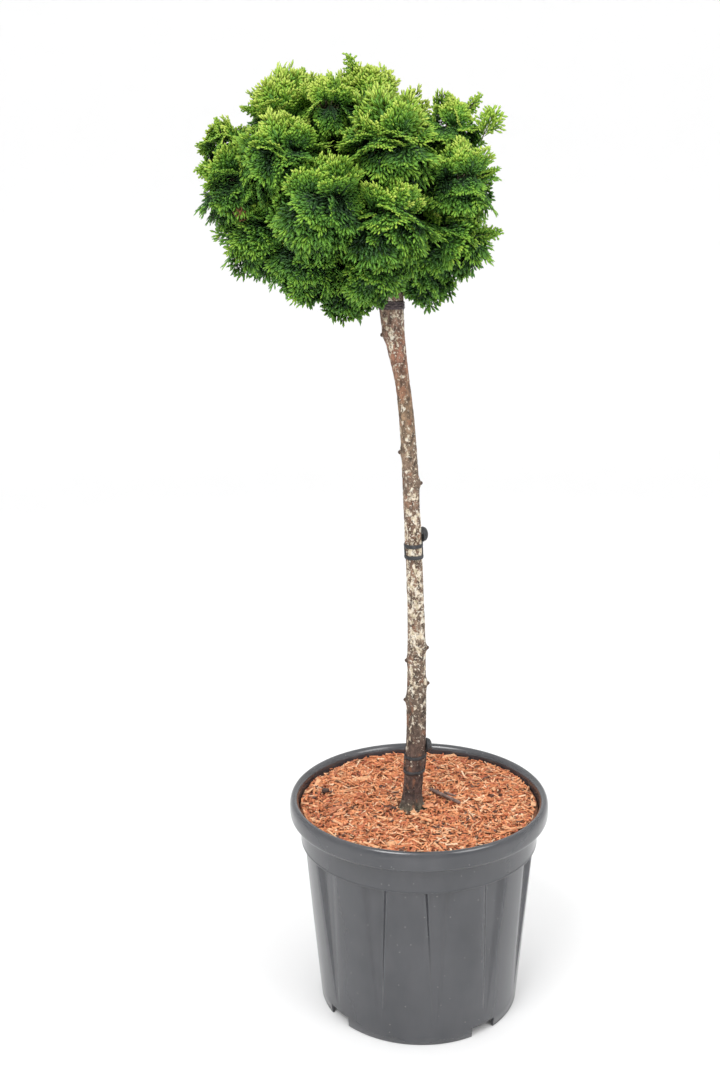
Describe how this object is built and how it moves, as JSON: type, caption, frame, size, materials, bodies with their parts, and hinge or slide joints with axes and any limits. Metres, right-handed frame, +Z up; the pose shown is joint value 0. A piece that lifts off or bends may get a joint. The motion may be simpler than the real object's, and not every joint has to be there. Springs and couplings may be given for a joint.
{
  "type": "dwarf hinoki cypress on a stem in a nursery pot",
  "caption": "Potted dwarf hinoki cypress grafted on a bare stem: fluted nursery pot, bark mulch, upright trunk and a low round crown of fan sprays.",
  "frame": {"origin": "centre of the pot's flat underside, on its axis", "axes": "+Z up along the trunk, -Y towards the front, from where the crown leans to -X"},
  "size_m": [0.379, 0.3002, 1.0655],
  "materials": {
    "pot": "satin black moulded nursery plastic",
    "soil": "damp dark potting soil",
    "mulch": "rough red-brown bark chips",
    "bark": "rough grey-brown bark with pale lichen patches",
    "ties": "matt black rubber",
    "foliage": "scale-leaf sprays, mid green with yellow-green tips"
  },
  "bodies": {
    "root": {"bark_mulch": "mulch", "bough_back": "bark", "bough_back_high": "bark", "bough_back_left": "bark", "bough_back_low_left": "bark", "bough_back_right": "bark", "bough_back_top": "bark", "bough_front": "bark", "bough_front_high": "bark", "bough_front_left": "bark", "bough_front_low": "bark", "bough_left": "bark", "bough_left_high": "bark", "bough_low_front": "bark", "bough_low_left": "bark", "bough_right": "bark", "bough_right_high": "bark", "bough_right_low": "bark", "bough_top": "bark", "bough_top_left": "bark", "bough_top_middle": "bark", "foliage_back": "foliage", "foliage_back_high": "foliage", "foliage_back_left": "foliage", "foliage_back_low_left": "foliage", "foliage_back_low_right": "foliage", "foliage_back_right": "foliage", "foliage_back_top": "foliage", "foliage_bottom": "foliage", "foliage_front": "foliage", "foliage_front_high": "foliage", "foliage_front_left": "foliage", "foliage_front_low": "foliage", "foliage_left": "foliage", "foliage_left_high": "foliage", "foliage_low_front": "foliage", "foliage_low_left": "foliage", "foliage_low_middle": "foliage", "foliage_low_right": "foliage", "foliage_right": "foliage", "foliage_right_high": "foliage", "foliage_right_low": "foliage", "foliage_top": "foliage", "foliage_top_left": "foliage", "foliage_top_middle": "foliage", "graft_band": "ties", "pot": "pot", "potting_soil": "soil", "tie_lower": "ties", "tie_middle": "ties", "trunk": "bark"}
  },
  "joints": []
}
